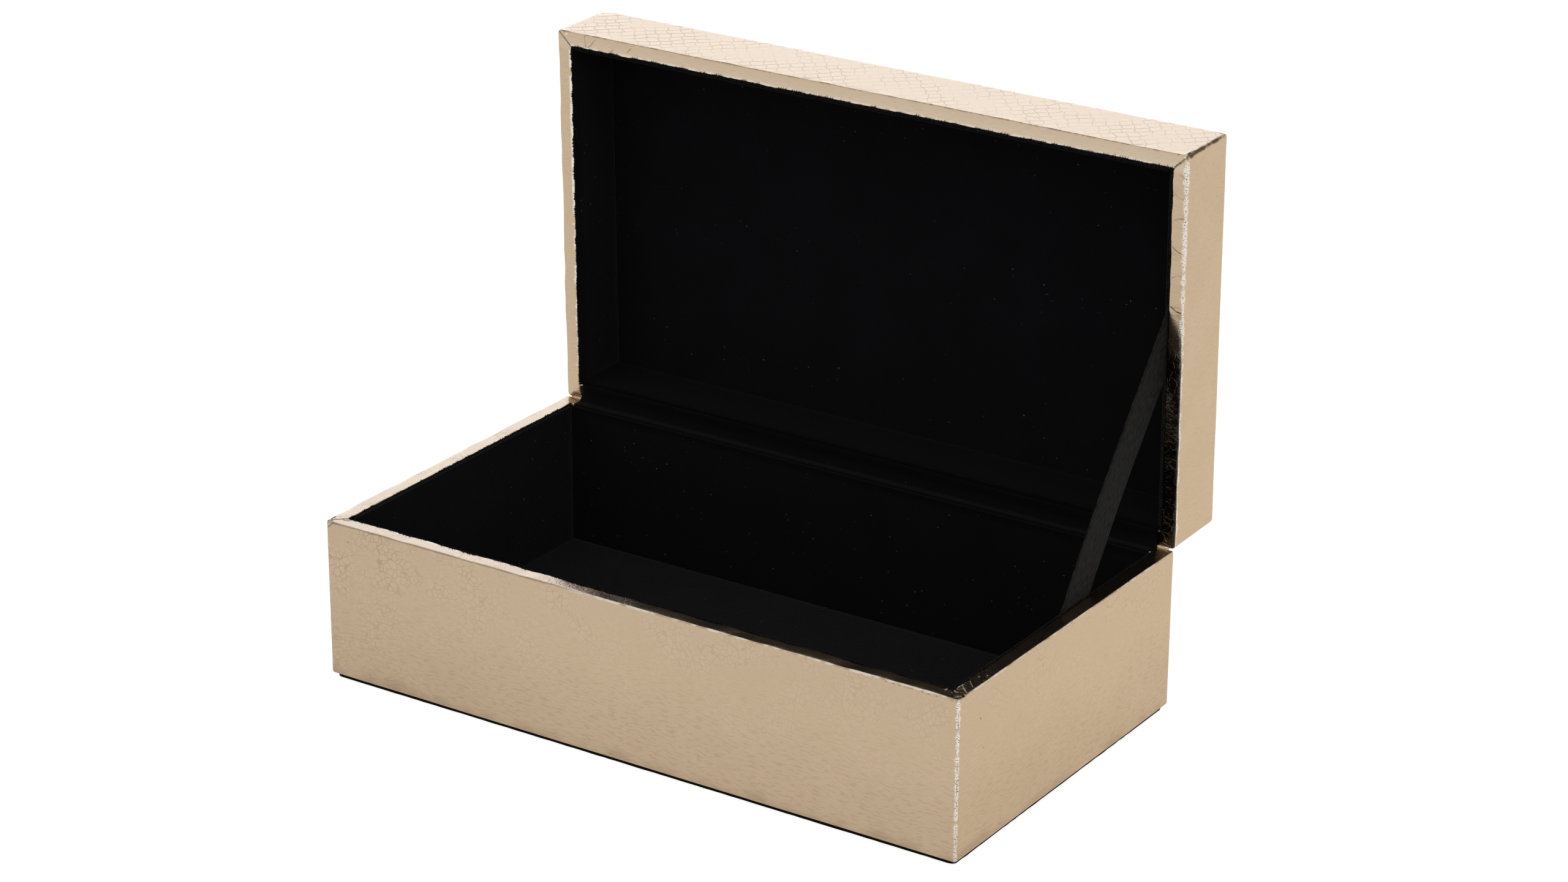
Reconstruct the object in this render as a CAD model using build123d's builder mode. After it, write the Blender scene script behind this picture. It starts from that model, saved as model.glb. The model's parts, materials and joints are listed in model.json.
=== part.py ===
"""A hinged storage box of fibreboard, covered with leatherette, lined with velvet and shown open."""

import os
from collections import namedtuple
from math import atan2, cos, degrees, hypot, radians, sin, sqrt, tan

from build123d import *

os.makedirs("parts", exist_ok=True)

# Outside sizes of the closed box, in millimetres
length = 300.0
width = 166.5
base_height = 70.0
lid_depth = 33.0

# Boards
wall = 5.0
bottom_panel = 3.0
top_panel = 3.0

# Covering, lining and felt
leatherette = 0.8
turn_in = 15.0
turn_under = 14.0
lining = 1.6
lining_drop = 0.6
floor_pad = 1.4
top_pad = 1.4
felt = 1.7
felt_inset = 1.5
felt_corner = 2.5

# Rounding of the covered edges
base_corner = 1.2
lid_corner = 1.6
rim_round = 0.7
mitre_slit = 0.3
mitre_depth = 0.4

# Hinge: the gap between the closed rims, and the two strips that bend
rim_gap = 0.3
open_angle = 88.9
outer_leg = 12.0
outer_strip_inset = 2.5
inner_strip_side_gap = 0.2
fold_clearance = 0.15

# Ribbon that stops the lid, with the distance from the hinge where it leaves each half
ribbon_width = 20.6
ribbon = 0.5
ribbon_clearance = 0.1
pocket_clearance = 0.4
base_reach = 71.0
lid_reach = 90.0
base_tuck = 18.0
lid_tuck = 24.0

# Sizes that follow
rim = rim_gap / 2
rim_width = 2 * leatherette + wall
board_length = length - 2 * leatherette
board_width = width - 2 * leatherette
clear_length = length - 2 * rim_width
clear_width = width - 2 * rim_width

# Both halves are drawn from the hinge line: y is 0 at the back and minus the width at the front,
# and z runs away from the rim towards the closed end of that half. Right is the box's right.
hinge_line = (0, width / 2, base_height)
lid_axis = (0, sin(radians(open_angle)), cos(radians(open_angle)))
Half = namedtuple("Half", "name frame depth corner panel panel_name pad pad_name right")
base = Half(
    name="base",
    frame=Plane(origin=hinge_line, x_dir=(-1, 0, 0), z_dir=(0, 0, -1)),
    depth=base_height - felt,
    corner=base_corner,
    panel=bottom_panel,
    panel_name="bottom",
    pad=floor_pad,
    pad_name="floor",
    right=-1,
)
lid = Half(
    name="lid",
    frame=Plane(origin=hinge_line, x_dir=(1, 0, 0), z_dir=lid_axis),
    depth=lid_depth,
    corner=lid_corner,
    panel=top_panel,
    panel_name="top",
    pad=top_pad,
    pad_name="top",
    right=1,
)


def slab(frame, x, y, z):
    """A plain block between the low and high values of x, y and z in the frame of its half."""
    with BuildPart() as block:
        with BuildSketch(frame.offset(z[0])):
            with Locations(((x[0] + x[1]) / 2, (y[0] + y[1]) / 2)):
                Rectangle(x[1] - x[0], y[1] - y[0])
        extrude(amount=z[1] - z[0])
    return block.part


def rounded_block(half, inset):
    """The outer form of a half, taken in by inset, round at its upright and closed-end edges."""
    along = Axis(half.frame.origin, half.frame.z_dir)
    with BuildPart() as block:
        with BuildSketch(half.frame.offset(rim + inset)):
            with Locations((0, -width / 2)):
                Rectangle(length - 2 * inset, width - 2 * inset)
        extrude(amount=half.depth - rim - 2 * inset)
        closed_end = block.faces().sort_by(along)[-1].edges()
        fillet(block.edges().filter_by(along) + closed_end, radius=half.corner - inset)
    return block.part


def four_walls(half, outer_x, outer_y, thickness, z):
    """The low and high x, y and z of four walls: front and rear run past the ends of the sides."""
    inner_x = outer_x - thickness
    between = (outer_y[0] + thickness, outer_y[1] - thickness)
    right_x = sorted((half.right * inner_x, half.right * outer_x))
    left_x = sorted((-half.right * inner_x, -half.right * outer_x))
    return {
        "front": ((-outer_x, outer_x), (outer_y[0], between[0]), z),
        "rear": ((-outer_x, outer_x), (between[1], outer_y[1]), z),
        "left": (left_x, between, z),
        "right": (right_x, between, z),
    }


def ribbon_band(outer_face, thickness, margin):
    """The ribbon's straight band inside the right wall, with its outline grown by a margin."""
    start = Vector(0, width / 2 - base_reach, base_height)
    end = lid.frame.from_local_coords(Vector(0, -lid_reach, 0))
    run = end - start
    free = hypot(run.Y, run.Z)
    middle = start + run * ((free + lid_tuck - base_tuck) / 2 / free)
    with BuildPart() as band:
        with BuildSketch(Plane.YZ.offset(outer_face)):
            with Locations((middle.Y, middle.Z)):
                Rectangle(
                    free + base_tuck + lid_tuck + 2 * margin,
                    ribbon_width + 2 * margin,
                    rotation=degrees(atan2(run.Z, run.Y)),
                )
        extrude(amount=-thickness)
    return band.part


def section_point(half, y, z):
    """A point of a half's middle section, as its place across and up the whole box."""
    point = half.frame.from_local_coords(Vector(0, y, z))
    return (point.Y, point.Z)


# Boards: front and rear run the full length, the sides and the panel stand between them
for half in (base, lid):
    outer_y = (-width + leatherette, -leatherette)
    upright = (rim + leatherette, half.depth - leatherette)
    inside = (outer_y[0] + wall, outer_y[1] - wall)
    inside_x = board_length / 2 - wall
    boards = four_walls(half, board_length / 2, outer_y, wall, upright)
    boards[half.panel_name] = ((-inside_x, inside_x), inside, (upright[1] - half.panel, upright[1]))
    for place, (x, y, z) in boards.items():
        name = f"{half.name}_{place}_board"
        with BuildPart() as board:
            add(rounded_block(half, leatherette))
            add(slab(half.frame, x, y, z), mode=Mode.INTERSECT)
        board.part.label = name
        export_step(board.part, f"parts/{name}.step")

# Leatherette: outside of the boards, over the rims, and a margin down the inside of the walls
for half in (base, lid):
    along = Axis(half.frame.origin, half.frame.z_dir)
    with BuildPart() as cover:
        add(rounded_block(half, 0))
        fillet(cover.faces().sort_by(along)[0].edges(), radius=rim_round)
        add(rounded_block(half, leatherette), mode=Mode.SUBTRACT)
        with BuildSketch(half.frame.offset(rim)):
            with Locations((0, -width / 2)):
                Rectangle(clear_length, clear_width)
        extrude(amount=leatherette, mode=Mode.SUBTRACT)
        # The margin glued to the inside of the walls
        with BuildSketch(half.frame.offset(rim + leatherette)):
            with Locations((0, -width / 2)):
                Rectangle(clear_length + 2 * leatherette, clear_width + 2 * leatherette)
                Rectangle(clear_length, clear_width, mode=Mode.SUBTRACT)
        extrude(amount=turn_in - leatherette)
        # Slits where the margins meet at the rim's corners, from near the outer corner into the mouth
        slit_start = 2 * rim_round
        slit_end = rim_width * sqrt(2) + mitre_slit
        slit_inset = (slit_start + slit_end) / 2 / sqrt(2)
        with BuildSketch(half.frame.offset(rim)):
            for side_x in (-1, 1):
                for side_y in (-1, 1):
                    slit_x = side_x * (length / 2 - slit_inset)
                    slit_y = side_y * (width / 2 - slit_inset)
                    with Locations((slit_x, slit_y - width / 2)):
                        Rectangle(slit_end - slit_start, mitre_slit, rotation=side_x * side_y * 45)
        extrude(amount=mitre_depth, mode=Mode.SUBTRACT)
        # The rear rim and the back below it are left to the two hinge strips
        clear_x = (-clear_length / 2, clear_length / 2)
        strip_x = (outer_strip_inset - length / 2, length / 2 - outer_strip_inset)
        inner_notch = slab(half.frame, clear_x, (-rim_width, -leatherette), (rim, rim + turn_in))
        outer_notch = slab(half.frame, strip_x, (-leatherette, 0), (rim, outer_leg))
        add((inner_notch, outer_notch), mode=Mode.SUBTRACT)
        # Under the base only a margin of the leatherette is turned in
        if half is base:
            with BuildSketch(half.frame.offset(half.depth - leatherette)):
                with Locations((0, -width / 2)):
                    Rectangle(length - 2 * turn_under, width - 2 * turn_under)
            extrude(amount=leatherette, mode=Mode.SUBTRACT)
    cover.part.label = f"{half.name}_cover"
    export_step(cover.part, f"parts/{half.name}_cover.step")

# Linings: a pad on the panel, and four panels of velvet on card that stand on it
for half in (base, lid):
    outer_y = (-width + rim_width, -rim_width)
    pad_back = half.depth - leatherette - half.panel
    upright = (rim + lining_drop, pad_back - half.pad)
    half_x = clear_length / 2
    linings = four_walls(half, half_x, outer_y, lining, upright)
    linings[half.pad_name] = ((-half_x, half_x), outer_y, (upright[1], pad_back))
    for place, (x, y, z) in linings.items():
        name = f"{half.name}_{place}_lining"
        with BuildPart() as panel_lining:
            add(slab(half.frame, x, y, z))
            # The right linings are hollowed behind, where the ribbon is glued in
            if place == "right":
                pocket = ribbon_band(half_x, ribbon + 2 * ribbon_clearance, pocket_clearance)
                add(pocket, mode=Mode.SUBTRACT)
        panel_lining.part.label = name
        export_step(panel_lining.part, f"parts/{name}.step")

# Ribbon from behind the base's right lining to behind the lid's
with BuildPart() as lid_stay_ribbon:
    add(ribbon_band(clear_length / 2 - ribbon_clearance, ribbon, 0))
lid_stay_ribbon.part.label = "lid_stay_ribbon"
export_step(lid_stay_ribbon.part, "parts/lid_stay_ribbon.step")

# Velvet strip over both rear rims, glued down behind both rear linings, bent at the hinge line.
# It is as thick as the leatherette, so the rear rims are level with the others.
strip = leatherette
board_face = leatherette + wall
fold_start = leatherette + strip + fold_clearance * sqrt(2)
fold_bend = strip * tan(radians(45 / 2))
inner_profile = [
    section_point(base, -board_face - strip, rim + turn_in),
    section_point(base, -board_face, rim + turn_in),
    section_point(base, -board_face, rim + strip),
    section_point(base, -fold_start, rim + strip),
    section_point(lid, -fold_start, rim + strip),
    section_point(lid, -board_face, rim + strip),
    section_point(lid, -board_face, rim + turn_in),
    section_point(lid, -board_face - strip, rim + turn_in),
    section_point(lid, -board_face - strip, rim),
    section_point(lid, -fold_start - fold_bend, rim),
    section_point(base, -fold_start - fold_bend, rim),
    section_point(base, -board_face - strip, rim),
]
with BuildPart() as inner_hinge_strip:
    with BuildSketch(Plane.YZ):
        Polygon(*inner_profile, align=None)
    extrude(amount=clear_length / 2 - inner_strip_side_gap, both=True)
inner_hinge_strip.part.label = "inner_hinge_strip"
export_step(inner_hinge_strip.part, "parts/inner_hinge_strip.step")

# Leatherette strip let into the back of both covers
outer_profile = [
    section_point(base, 0, outer_leg),
    section_point(base, -leatherette, outer_leg),
    section_point(base, -leatherette, rim),
    section_point(lid, -leatherette, rim),
    section_point(lid, -leatherette, outer_leg),
    section_point(lid, 0, outer_leg),
    section_point(lid, 0, rim),
    section_point(base, 0, rim),
]
with BuildPart() as outer_hinge_strip:
    with BuildSketch(Plane.YZ):
        Polygon(*outer_profile, align=None)
    extrude(amount=length / 2 - outer_strip_inset, both=True)
outer_hinge_strip.part.label = "outer_hinge_strip"
export_step(outer_hinge_strip.part, "parts/outer_hinge_strip.step")

# Felt under the base, which the box stands on
with BuildPart() as base_felt:
    with BuildSketch():
        RectangleRounded(length - 2 * felt_inset, width - 2 * felt_inset, felt_corner)
    extrude(amount=felt)
base_felt.part.label = "base_felt"
export_step(base_felt.part, "parts/base_felt.step")
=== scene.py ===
# %% [markdown]
# # A hinged storage box, open
#
# The box is made of board, covered outside with a metallic leatherette and lined with black velvet.
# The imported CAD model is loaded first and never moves: every piece made here is measured from it.

# %% The fixed frame
import json
import math
import random
from collections import namedtuple

import bmesh
import bpy
from mathutils import Matrix, Vector, kdtree, noise
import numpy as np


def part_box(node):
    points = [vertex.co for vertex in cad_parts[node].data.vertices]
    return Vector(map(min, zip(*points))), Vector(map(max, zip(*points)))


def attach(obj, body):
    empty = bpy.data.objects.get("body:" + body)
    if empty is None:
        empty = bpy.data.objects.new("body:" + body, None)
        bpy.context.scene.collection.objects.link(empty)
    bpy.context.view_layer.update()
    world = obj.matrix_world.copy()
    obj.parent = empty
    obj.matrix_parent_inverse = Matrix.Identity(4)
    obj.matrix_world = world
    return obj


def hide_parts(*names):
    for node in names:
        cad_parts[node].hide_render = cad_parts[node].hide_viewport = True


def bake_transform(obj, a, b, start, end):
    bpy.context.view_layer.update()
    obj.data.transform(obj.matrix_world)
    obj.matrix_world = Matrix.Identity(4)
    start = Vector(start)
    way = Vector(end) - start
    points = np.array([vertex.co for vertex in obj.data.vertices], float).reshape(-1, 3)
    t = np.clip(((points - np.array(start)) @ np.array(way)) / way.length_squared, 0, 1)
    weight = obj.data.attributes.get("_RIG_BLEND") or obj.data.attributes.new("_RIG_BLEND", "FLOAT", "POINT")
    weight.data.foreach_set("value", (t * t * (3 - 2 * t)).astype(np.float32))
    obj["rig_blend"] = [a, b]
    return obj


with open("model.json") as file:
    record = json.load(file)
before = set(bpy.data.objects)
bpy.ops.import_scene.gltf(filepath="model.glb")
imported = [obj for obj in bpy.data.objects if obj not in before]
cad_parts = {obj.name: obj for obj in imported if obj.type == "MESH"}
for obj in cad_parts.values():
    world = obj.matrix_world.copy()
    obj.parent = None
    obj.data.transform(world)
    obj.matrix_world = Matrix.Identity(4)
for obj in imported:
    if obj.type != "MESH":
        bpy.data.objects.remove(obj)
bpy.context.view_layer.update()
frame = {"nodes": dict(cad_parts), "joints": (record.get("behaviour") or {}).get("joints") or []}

# %% [markdown]
# ## Two halves drawn alike
#
# Base and lid are the same kind of tray. Each is drawn in its own frame, with the hinge line as
# origin: y is 0 at the back and negative towards the front, and z runs away from the rim into the
# tray. One matrix per half puts the finished mesh into the shared frame, so that the lid can stand
# open at its true angle while its corners are still drawn square.

# %% Places of the two halves
MM = 0.001
HINGE = Vector(frame["joints"][0]["pos_m"])
OPEN_ANGLE = math.radians(-frame["joints"][0]["range_deg"][0])


def half_place(x_axis, z_axis):
    """The matrix from a half's own frame to the shared one."""
    x, z = Vector(x_axis), Vector(z_axis)
    turn = Matrix((x, z.cross(x), z)).transposed().to_4x4()
    return Matrix.Translation(HINGE) @ turn


PLACE = {
    "base": half_place((-1, 0, 0), (0, 0, -1)),
    "lid": half_place((1, 0, 0), (0, math.sin(OPEN_ANGLE), math.cos(OPEN_ANGLE))),
}
RIGHT = {"base": -1, "lid": 1}


def own_box(node, half):
    """Lowest and highest corner of a CAD node in the frame of its half."""
    back = PLACE[half].inverted()
    points = [back @ v.co for v in frame["nodes"][node].data.vertices]
    return (
        Vector(min(p[i] for p in points) for i in range(3)),
        Vector(max(p[i] for p in points) for i in range(3)),
    )


COVER = {half: own_box(f"{half}_cover", half) for half in PLACE}
LENGTH = 2 * COVER["base"][1].x
WIDTH = -COVER["base"][0].y
MOUTH_X = own_box("base_front_lining", "base")[1].x
RIM_WIDTH = LENGTH / 2 - MOUTH_X
print(f"length {LENGTH / MM:.1f}, width {WIDTH / MM:.1f}, rim {RIM_WIDTH / MM:.2f} mm")

# %% [markdown]
# ## Small tools
#
# Every piece starts from a block or a grid, is cut finer where it has to bend, and ends as one
# object at the origin. Cutting with planes keeps neighbouring faces joined, whatever their shape.


# %% Making and finishing a mesh
def block(low, high):
    """A bmesh block between two corners."""
    form = bmesh.new()
    bmesh.ops.create_cube(form, size=1)
    size = Vector(high) - Vector(low)
    bmesh.ops.scale(form, vec=size, verts=form.verts)
    bmesh.ops.translate(form, vec=Vector(low) + size / 2, verts=form.verts)
    return form


def round_edges(form, edges, radius, segments):
    """Rounds edges of a bmesh."""
    bmesh.ops.bevel(
        form, geom=edges, offset=radius, segments=segments, profile=0.5,
        affect="EDGES", material=-1, clamp_overlap=True,
    )


def slice_mesh(form, axis, step):
    """Cuts a whole mesh by planes across an axis, a step apart."""
    values = [v.co[axis] for v in form.verts]
    low, high = min(values), max(values)
    count = max(1, round((high - low) / step))
    normal = Vector((0, 0, 0))
    normal[axis] = 1
    for i in range(1, count):
        place = low + (high - low) * (i + 0.013) / count
        whole = form.verts[:] + form.edges[:] + form.faces[:]
        bmesh.ops.bisect_plane(form, geom=whole, dist=1e-7, plane_co=normal * place, plane_no=normal)


def once(items):
    """The items in their order, each once; a set's order would change from run to run."""
    return list(dict.fromkeys(items))


def in_order(form):
    """The same mesh with its faces in a fixed order; without this, each run gives another order."""
    form.verts.index_update()
    places = [v.co.copy() for v in form.verts]
    corners = []
    for face in form.faces:
        around = [v.index for v in face.verts]
        first = around.index(min(around))
        corners.append(around[first:] + around[:first])
    form.clear()
    verts = [form.verts.new(place) for place in places]
    for around in sorted(corners):
        form.faces.new([verts[i] for i in around])
    form.normal_update()
    return form


def finish_piece(form, name, material, smooth_angle=50):
    """Turns a bmesh in the shared frame into an object at the origin."""
    mesh = bpy.data.meshes.new(name)
    form.to_mesh(mesh)
    form.free()
    piece = bpy.data.objects.new(name, mesh)
    bpy.context.scene.collection.objects.link(piece)
    mesh.materials.append(material)
    mesh.shade_smooth()
    mesh.set_sharp_from_angle(angle=math.radians(smooth_angle))
    print(f"{name}: {len(mesh.vertices)} vertices, {len(mesh.polygons)} faces")
    return piece


def smooth_step(value):
    """Rises softly from 0 at 0 to 1 at 1."""
    t = max(0.0, min(1.0, value))
    return t * t * (3 - 2 * t)


def thicken(piece, thickness):
    """Gives a sheet its thickness, inwards from the face that shows."""
    solid = piece.modifiers.new("thickness", "SOLIDIFY")
    solid.thickness = thickness
    solid.offset = -1
    solid.use_even_offset = False


# %% [markdown]
# ## Colours and nodes
#
# Colours are written as they look on a screen and turned to linear light in one place. Each
# material is built from nodes, at the scale of the real thing in millimetres.


# %% Colour and node helpers
def linear(hex_colour):
    """An sRGB hex colour as linear RGBA."""
    parts = [int(hex_colour[i:i + 2], 16) / 255 for i in (1, 3, 5)]
    return tuple(c / 12.92 if c <= 0.04045 else ((c + 0.055) / 1.055) ** 2.4 for c in parts) + (1,)


def add_node(tree, kind, settings=(), **inputs):
    """A shader node; its inputs are named, or numbered as in0, and take a value, a socket or a node."""
    node = tree.nodes.new("ShaderNode" + kind)
    for name, value in dict(settings).items():
        setattr(node, name, value)
    for name, value in inputs.items():
        numbered = name.startswith("in") and name[2:].isdigit()
        socket = node.inputs[int(name[2:]) if numbered else name.replace("_", " ")]
        if isinstance(value, bpy.types.Node):
            value = value.outputs[0]
        if isinstance(value, bpy.types.NodeSocket):
            tree.links.new(value, socket)
        else:
            socket.default_value = value
    return node


COLOURS = {"data_type": "RGBA"}
SMOOTH = {"interpolation_type": "SMOOTHSTEP"}
TIMES = {"operation": "MULTIPLY"}
TIMES_PLUS = {"operation": "MULTIPLY_ADD"}
LARGER = {"operation": "MAXIMUM"}


def new_material(name):
    """An empty node material: the material, its tree and its Principled shader."""
    material = bpy.data.materials.new(name)
    material.use_nodes = True
    tree = material.node_tree
    return material, tree, tree.nodes["Principled BSDF"]


# %% [markdown]
# ## Metallic leatherette
#
# The covering is a polyurethane leatherette with a champagne metal foil on it. Foil reflects like a
# metal, so the shader is fully metallic and fairly glossy. It is embossed like snake skin: on the lid,
# rows of scales about 4.7 mm high and 5 mm long, cut on the slant, so that the rows cross the edges
# at 40 degrees, and their short ends bow. On the base the sheet is stretched, and only fine ripples
# along it and a faint net are left. All patterns come from the sheet's own UV map, which is in metres
# along the sheet. The grooves of the scales and the net and the troughs of the ripples are darkened
# with painted shade. Attributes painted on the mesh say how deep the scales and ripples are, where the
# foil is worn pale and cracked, which also stands as a painted glint, where a fold lies in painted
# shade, and where painted highlights lie on ridges and rounded edges.

# %% Leatherette: scales, ripples and net
SCALE_ROW_MM = 4.7
SCALE_LENGTH_MM = 5.0
SCALE_TURN = math.radians(40)

leatherette, tree, shader = new_material("metallic_pu_leatherette")
uv = add_node(tree, "UVMap", {"uv_map": "sheet"})
sheet_mm = add_node(tree, "VectorMath", {"operation": "SCALE"}, in0=uv, Scale=1 / MM)
wander = add_node(tree, "TexNoise", Vector=sheet_mm, Scale=0.11, Detail=3.0)
bend = add_node(
    tree, "VectorMath", TIMES_PLUS,
    in0=wander.outputs["Color"], in1=(4.4, 4.4, 0), in2=sheet_mm,
)
turned = add_node(tree, "VectorRotate", {"rotation_type": "Z_AXIS"}, Vector=bend, Angle=-SCALE_TURN)
bent = add_node(tree, "SeparateXYZ", Vector=turned)
row = add_node(tree, "Math", {"operation": "DIVIDE"}, in0=bent.outputs["Y"], in1=SCALE_ROW_MM)
row = add_node(tree, "Math", {"operation": "FRACT"}, in0=row)
row = add_node(tree, "Math", TIMES, in0=row, in1=math.pi)
bow = add_node(tree, "Math", {"operation": "SINE"}, in0=row)
bow = add_node(tree, "Math", TIMES_PLUS, in0=bow, in1=0.5, in2=bent.outputs["X"])
scales_at = add_node(tree, "CombineXYZ", X=bow, Y=bent.outputs["Y"])
scales = add_node(
    tree, "TexBrick", {"offset": 0.14, "offset_frequency": 2, "squash": 1.0},
    Vector=scales_at, Scale=1.0, Mortar_Size=0.36, Mortar_Smooth=1.0, Bias=0.0,
    Brick_Width=SCALE_LENGTH_MM, Row_Height=SCALE_ROW_MM,
).outputs["Fac"]

drawn = add_node(tree, "VectorMath", TIMES, in0=bend, in1=(0.24, 1.3, 1))
ripples = add_node(tree, "TexNoise", Vector=drawn, Scale=1.0, Detail=2.0, Distortion=0.3)
net = add_node(tree, "TexVoronoi", {"feature": "DISTANCE_TO_EDGE"}, Vector=bend, Scale=0.36)
net = add_node(tree, "MapRange", SMOOTH, Value=net, From_Min=0.0, From_Max=0.11, To_Min=1.0, To_Max=0.0)
grain = add_node(tree, "TexNoise", Vector=sheet_mm, Scale=1.1, Detail=3.0)
patches = add_node(tree, "TexNoise", Vector=sheet_mm, Scale=0.045, Detail=2.0)

# %% Leatherette: what is painted on the mesh
scaly = add_node(tree, "Attribute", {"attribute_name": "emboss"}).outputs["Fac"]
rippled = add_node(tree, "Attribute", {"attribute_name": "ripple"}).outputs["Fac"]
netted = add_node(tree, "Attribute", {"attribute_name": "net"}).outputs["Fac"]
worn = add_node(tree, "Attribute", {"attribute_name": "worn"}).outputs["Fac"]
shade = add_node(tree, "Attribute", {"attribute_name": "shade"}).outputs["Fac"]

patchy = add_node(
    tree, "MapRange", SMOOTH,
    Value=patches, From_Min=0.38, From_Max=0.62, To_Min=0.3, To_Max=1.0,
)
groove = add_node(tree, "Math", TIMES, in0=scales, in1=patchy)
groove = add_node(tree, "Math", TIMES, in0=groove, in1=scaly)
faint = add_node(tree, "Math", TIMES, in0=net, in1=patchy)
faint = add_node(tree, "Math", TIMES, in0=faint, in1=netted)
lines = add_node(tree, "Math", LARGER, in0=groove, in1=faint)
trough = add_node(
    tree, "MapRange", SMOOTH,
    Value=ripples, From_Min=0.34, From_Max=0.52, To_Min=1.0, To_Max=0.0,
)
trough = add_node(tree, "Math", TIMES, in0=trough, in1=rippled)

# %% Leatherette: colour and relief
foil = add_node(
    tree, "Mix", COLOURS, in0=patches, in6=linear("#bba589"), in7=linear("#c5af94"),
).outputs[2]
# Painted shade: the grooves of the scales and the net and the troughs of the ripples are darkened towards
# brown
dark = add_node(tree, "Math", TIMES, in0=trough, in1=0.22)
painted_groove_shade = add_node(tree, "MapRange", SMOOTH, Value=lines, From_Min=0.0, From_Max=0.7, To_Max=0.6)
dark = add_node(tree, "Math", LARGER, in0=painted_groove_shade, in1=dark)
foil = add_node(tree, "Mix", COLOURS, in0=dark, in6=foil, in7=linear("#8a6f52")).outputs[2]
crumbs = add_node(tree, "TexNoise", Vector=sheet_mm, Scale=2.0, Detail=3.0)
flakes = add_node(tree, "MapRange", SMOOTH, Value=crumbs, From_Min=0.42, From_Max=0.48)
# Paler: worn flakes, which also stand as a painted glint on those edges, and painted highlights where the
# shade is negative
pale = add_node(tree, "Math", TIMES, in0=worn, in1=flakes)
bright = add_node(tree, "Math", TIMES, in0=shade, in1=-1.0)
pale = add_node(tree, "Math", LARGER, in0=pale, in1=bright)
foil = add_node(tree, "Mix", COLOURS, in0=pale, in6=foil, in7=linear("#fff6ea")).outputs[2]
cracks = add_node(
    tree, "MapRange", SMOOTH,
    Value=crumbs, From_Min=0.36, From_Max=0.42, To_Min=0.95, To_Max=0.0,
)
cracks = add_node(tree, "Math", TIMES, in0=worn, in1=cracks)
# Darker: painted shade, and the dark cracks of the worn foil
gloom = add_node(tree, "Math", LARGER, in0=shade, in1=cracks)
foil = add_node(tree, "Mix", COLOURS, in0=gloom, in6=foil, in7=linear("#3a322b")).outputs[2]
tree.links.new(foil, shader.inputs["Base Color"])
metal = add_node(tree, "Math", TIMES_PLUS, in0=pale, in1=-0.4, in2=1.0)
tree.links.new(metal.outputs[0], shader.inputs["Metallic"])
shader.inputs["Specular Tint"].default_value = linear("#fff3e2")
shader.inputs["Roughness"].default_value = 0.23
height = add_node(tree, "Math", TIMES, in0=ripples, in1=rippled)
height = add_node(tree, "Math", TIMES_PLUS, in0=grain, in1=0.12, in2=height)
height = add_node(tree, "Math", TIMES_PLUS, in0=lines, in1=-0.6, in2=height)
relief = add_node(tree, "Bump", Strength=0.8, Distance=0.11 * MM, Height=height)
tree.links.new(relief.outputs[0], shader.inputs["Normal"])

# %% [markdown]
# ## Velvet, felt, ribbon and board
#
# Black velvet swallows light: its base colour is almost zero, and only a little sheen shows where
# the pile is seen from the side. Where the velvet should lie in shade, an attribute on the mesh
# paints it blacker and takes most of its sheen away: painted shade. Short random nap comes from fine
# noise in the bump, and a few specks of lint lie on it. The felt is duller and coarser. The ribbon
# has fine ribs across it. The board is raw fibreboard, and shows nowhere on the closed box, but it is
# finished all the same.

# %% Velvet
velvet, tree, shader = new_material("black_pile_velvet")
place = add_node(tree, "TexCoord").outputs["Object"]
nap_and_painted_shade = add_node(tree, "TexNoise", Vector=place, Scale=1400.0, Detail=2.0)
brushed = add_node(tree, "TexNoise", Vector=place, Scale=38.0, Detail=3.0)
pile = add_node(
    tree, "Mix", COLOURS, in0=brushed, in6=linear("#0c0c0e"), in7=linear("#151518"),
).outputs[2]
lint = add_node(tree, "TexNoise", Vector=place, Scale=900.0, Detail=0.0)
lint = add_node(tree, "MapRange", Value=lint, From_Min=0.865, From_Max=0.885)
pile = add_node(tree, "Mix", COLOURS, in0=lint, in6=pile, in7=linear("#5c5c60")).outputs[2]
# Painted shade: where the attribute is set, the velvet is painted blacker and loses most of its sheen
painted_pile_shade = add_node(tree, "Attribute", {"attribute_name": "painted_velvet_shade"}).outputs["Fac"]
pile = add_node(tree, "Mix", COLOURS, in0=painted_pile_shade, in6=pile, in7=linear("#08080a")).outputs[2]
sheen = add_node(tree, "Math", TIMES_PLUS, in0=painted_pile_shade, in1=-0.16, in2=0.2)
tree.links.new(pile, shader.inputs["Base Color"])
tree.links.new(sheen.outputs[0], shader.inputs["Sheen Weight"])
shader.inputs["Roughness"].default_value = 1.0
shader.inputs["Specular IOR Level"].default_value = 0.08
shader.inputs["Sheen Roughness"].default_value = 0.35
relief = add_node(tree, "Bump", Strength=0.7, Distance=0.25 * MM, Height=nap_and_painted_shade)
tree.links.new(relief.outputs[0], shader.inputs["Normal"])

# %% Felt
felt, tree, shader = new_material("black_pressed_felt")
place = add_node(tree, "TexCoord").outputs["Object"]
fibres = add_node(tree, "TexNoise", Vector=place, Scale=900.0, Detail=5.0)
wool = add_node(
    tree, "Mix", COLOURS, in0=fibres, in6=linear("#060606"), in7=linear("#121212"),
).outputs[2]
tree.links.new(wool, shader.inputs["Base Color"])
shader.inputs["Roughness"].default_value = 0.95
shader.inputs["Specular IOR Level"].default_value = 0.1
relief = add_node(tree, "Bump", Strength=1.0, Distance=0.3 * MM, Height=fibres)
tree.links.new(relief.outputs[0], shader.inputs["Normal"])

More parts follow.
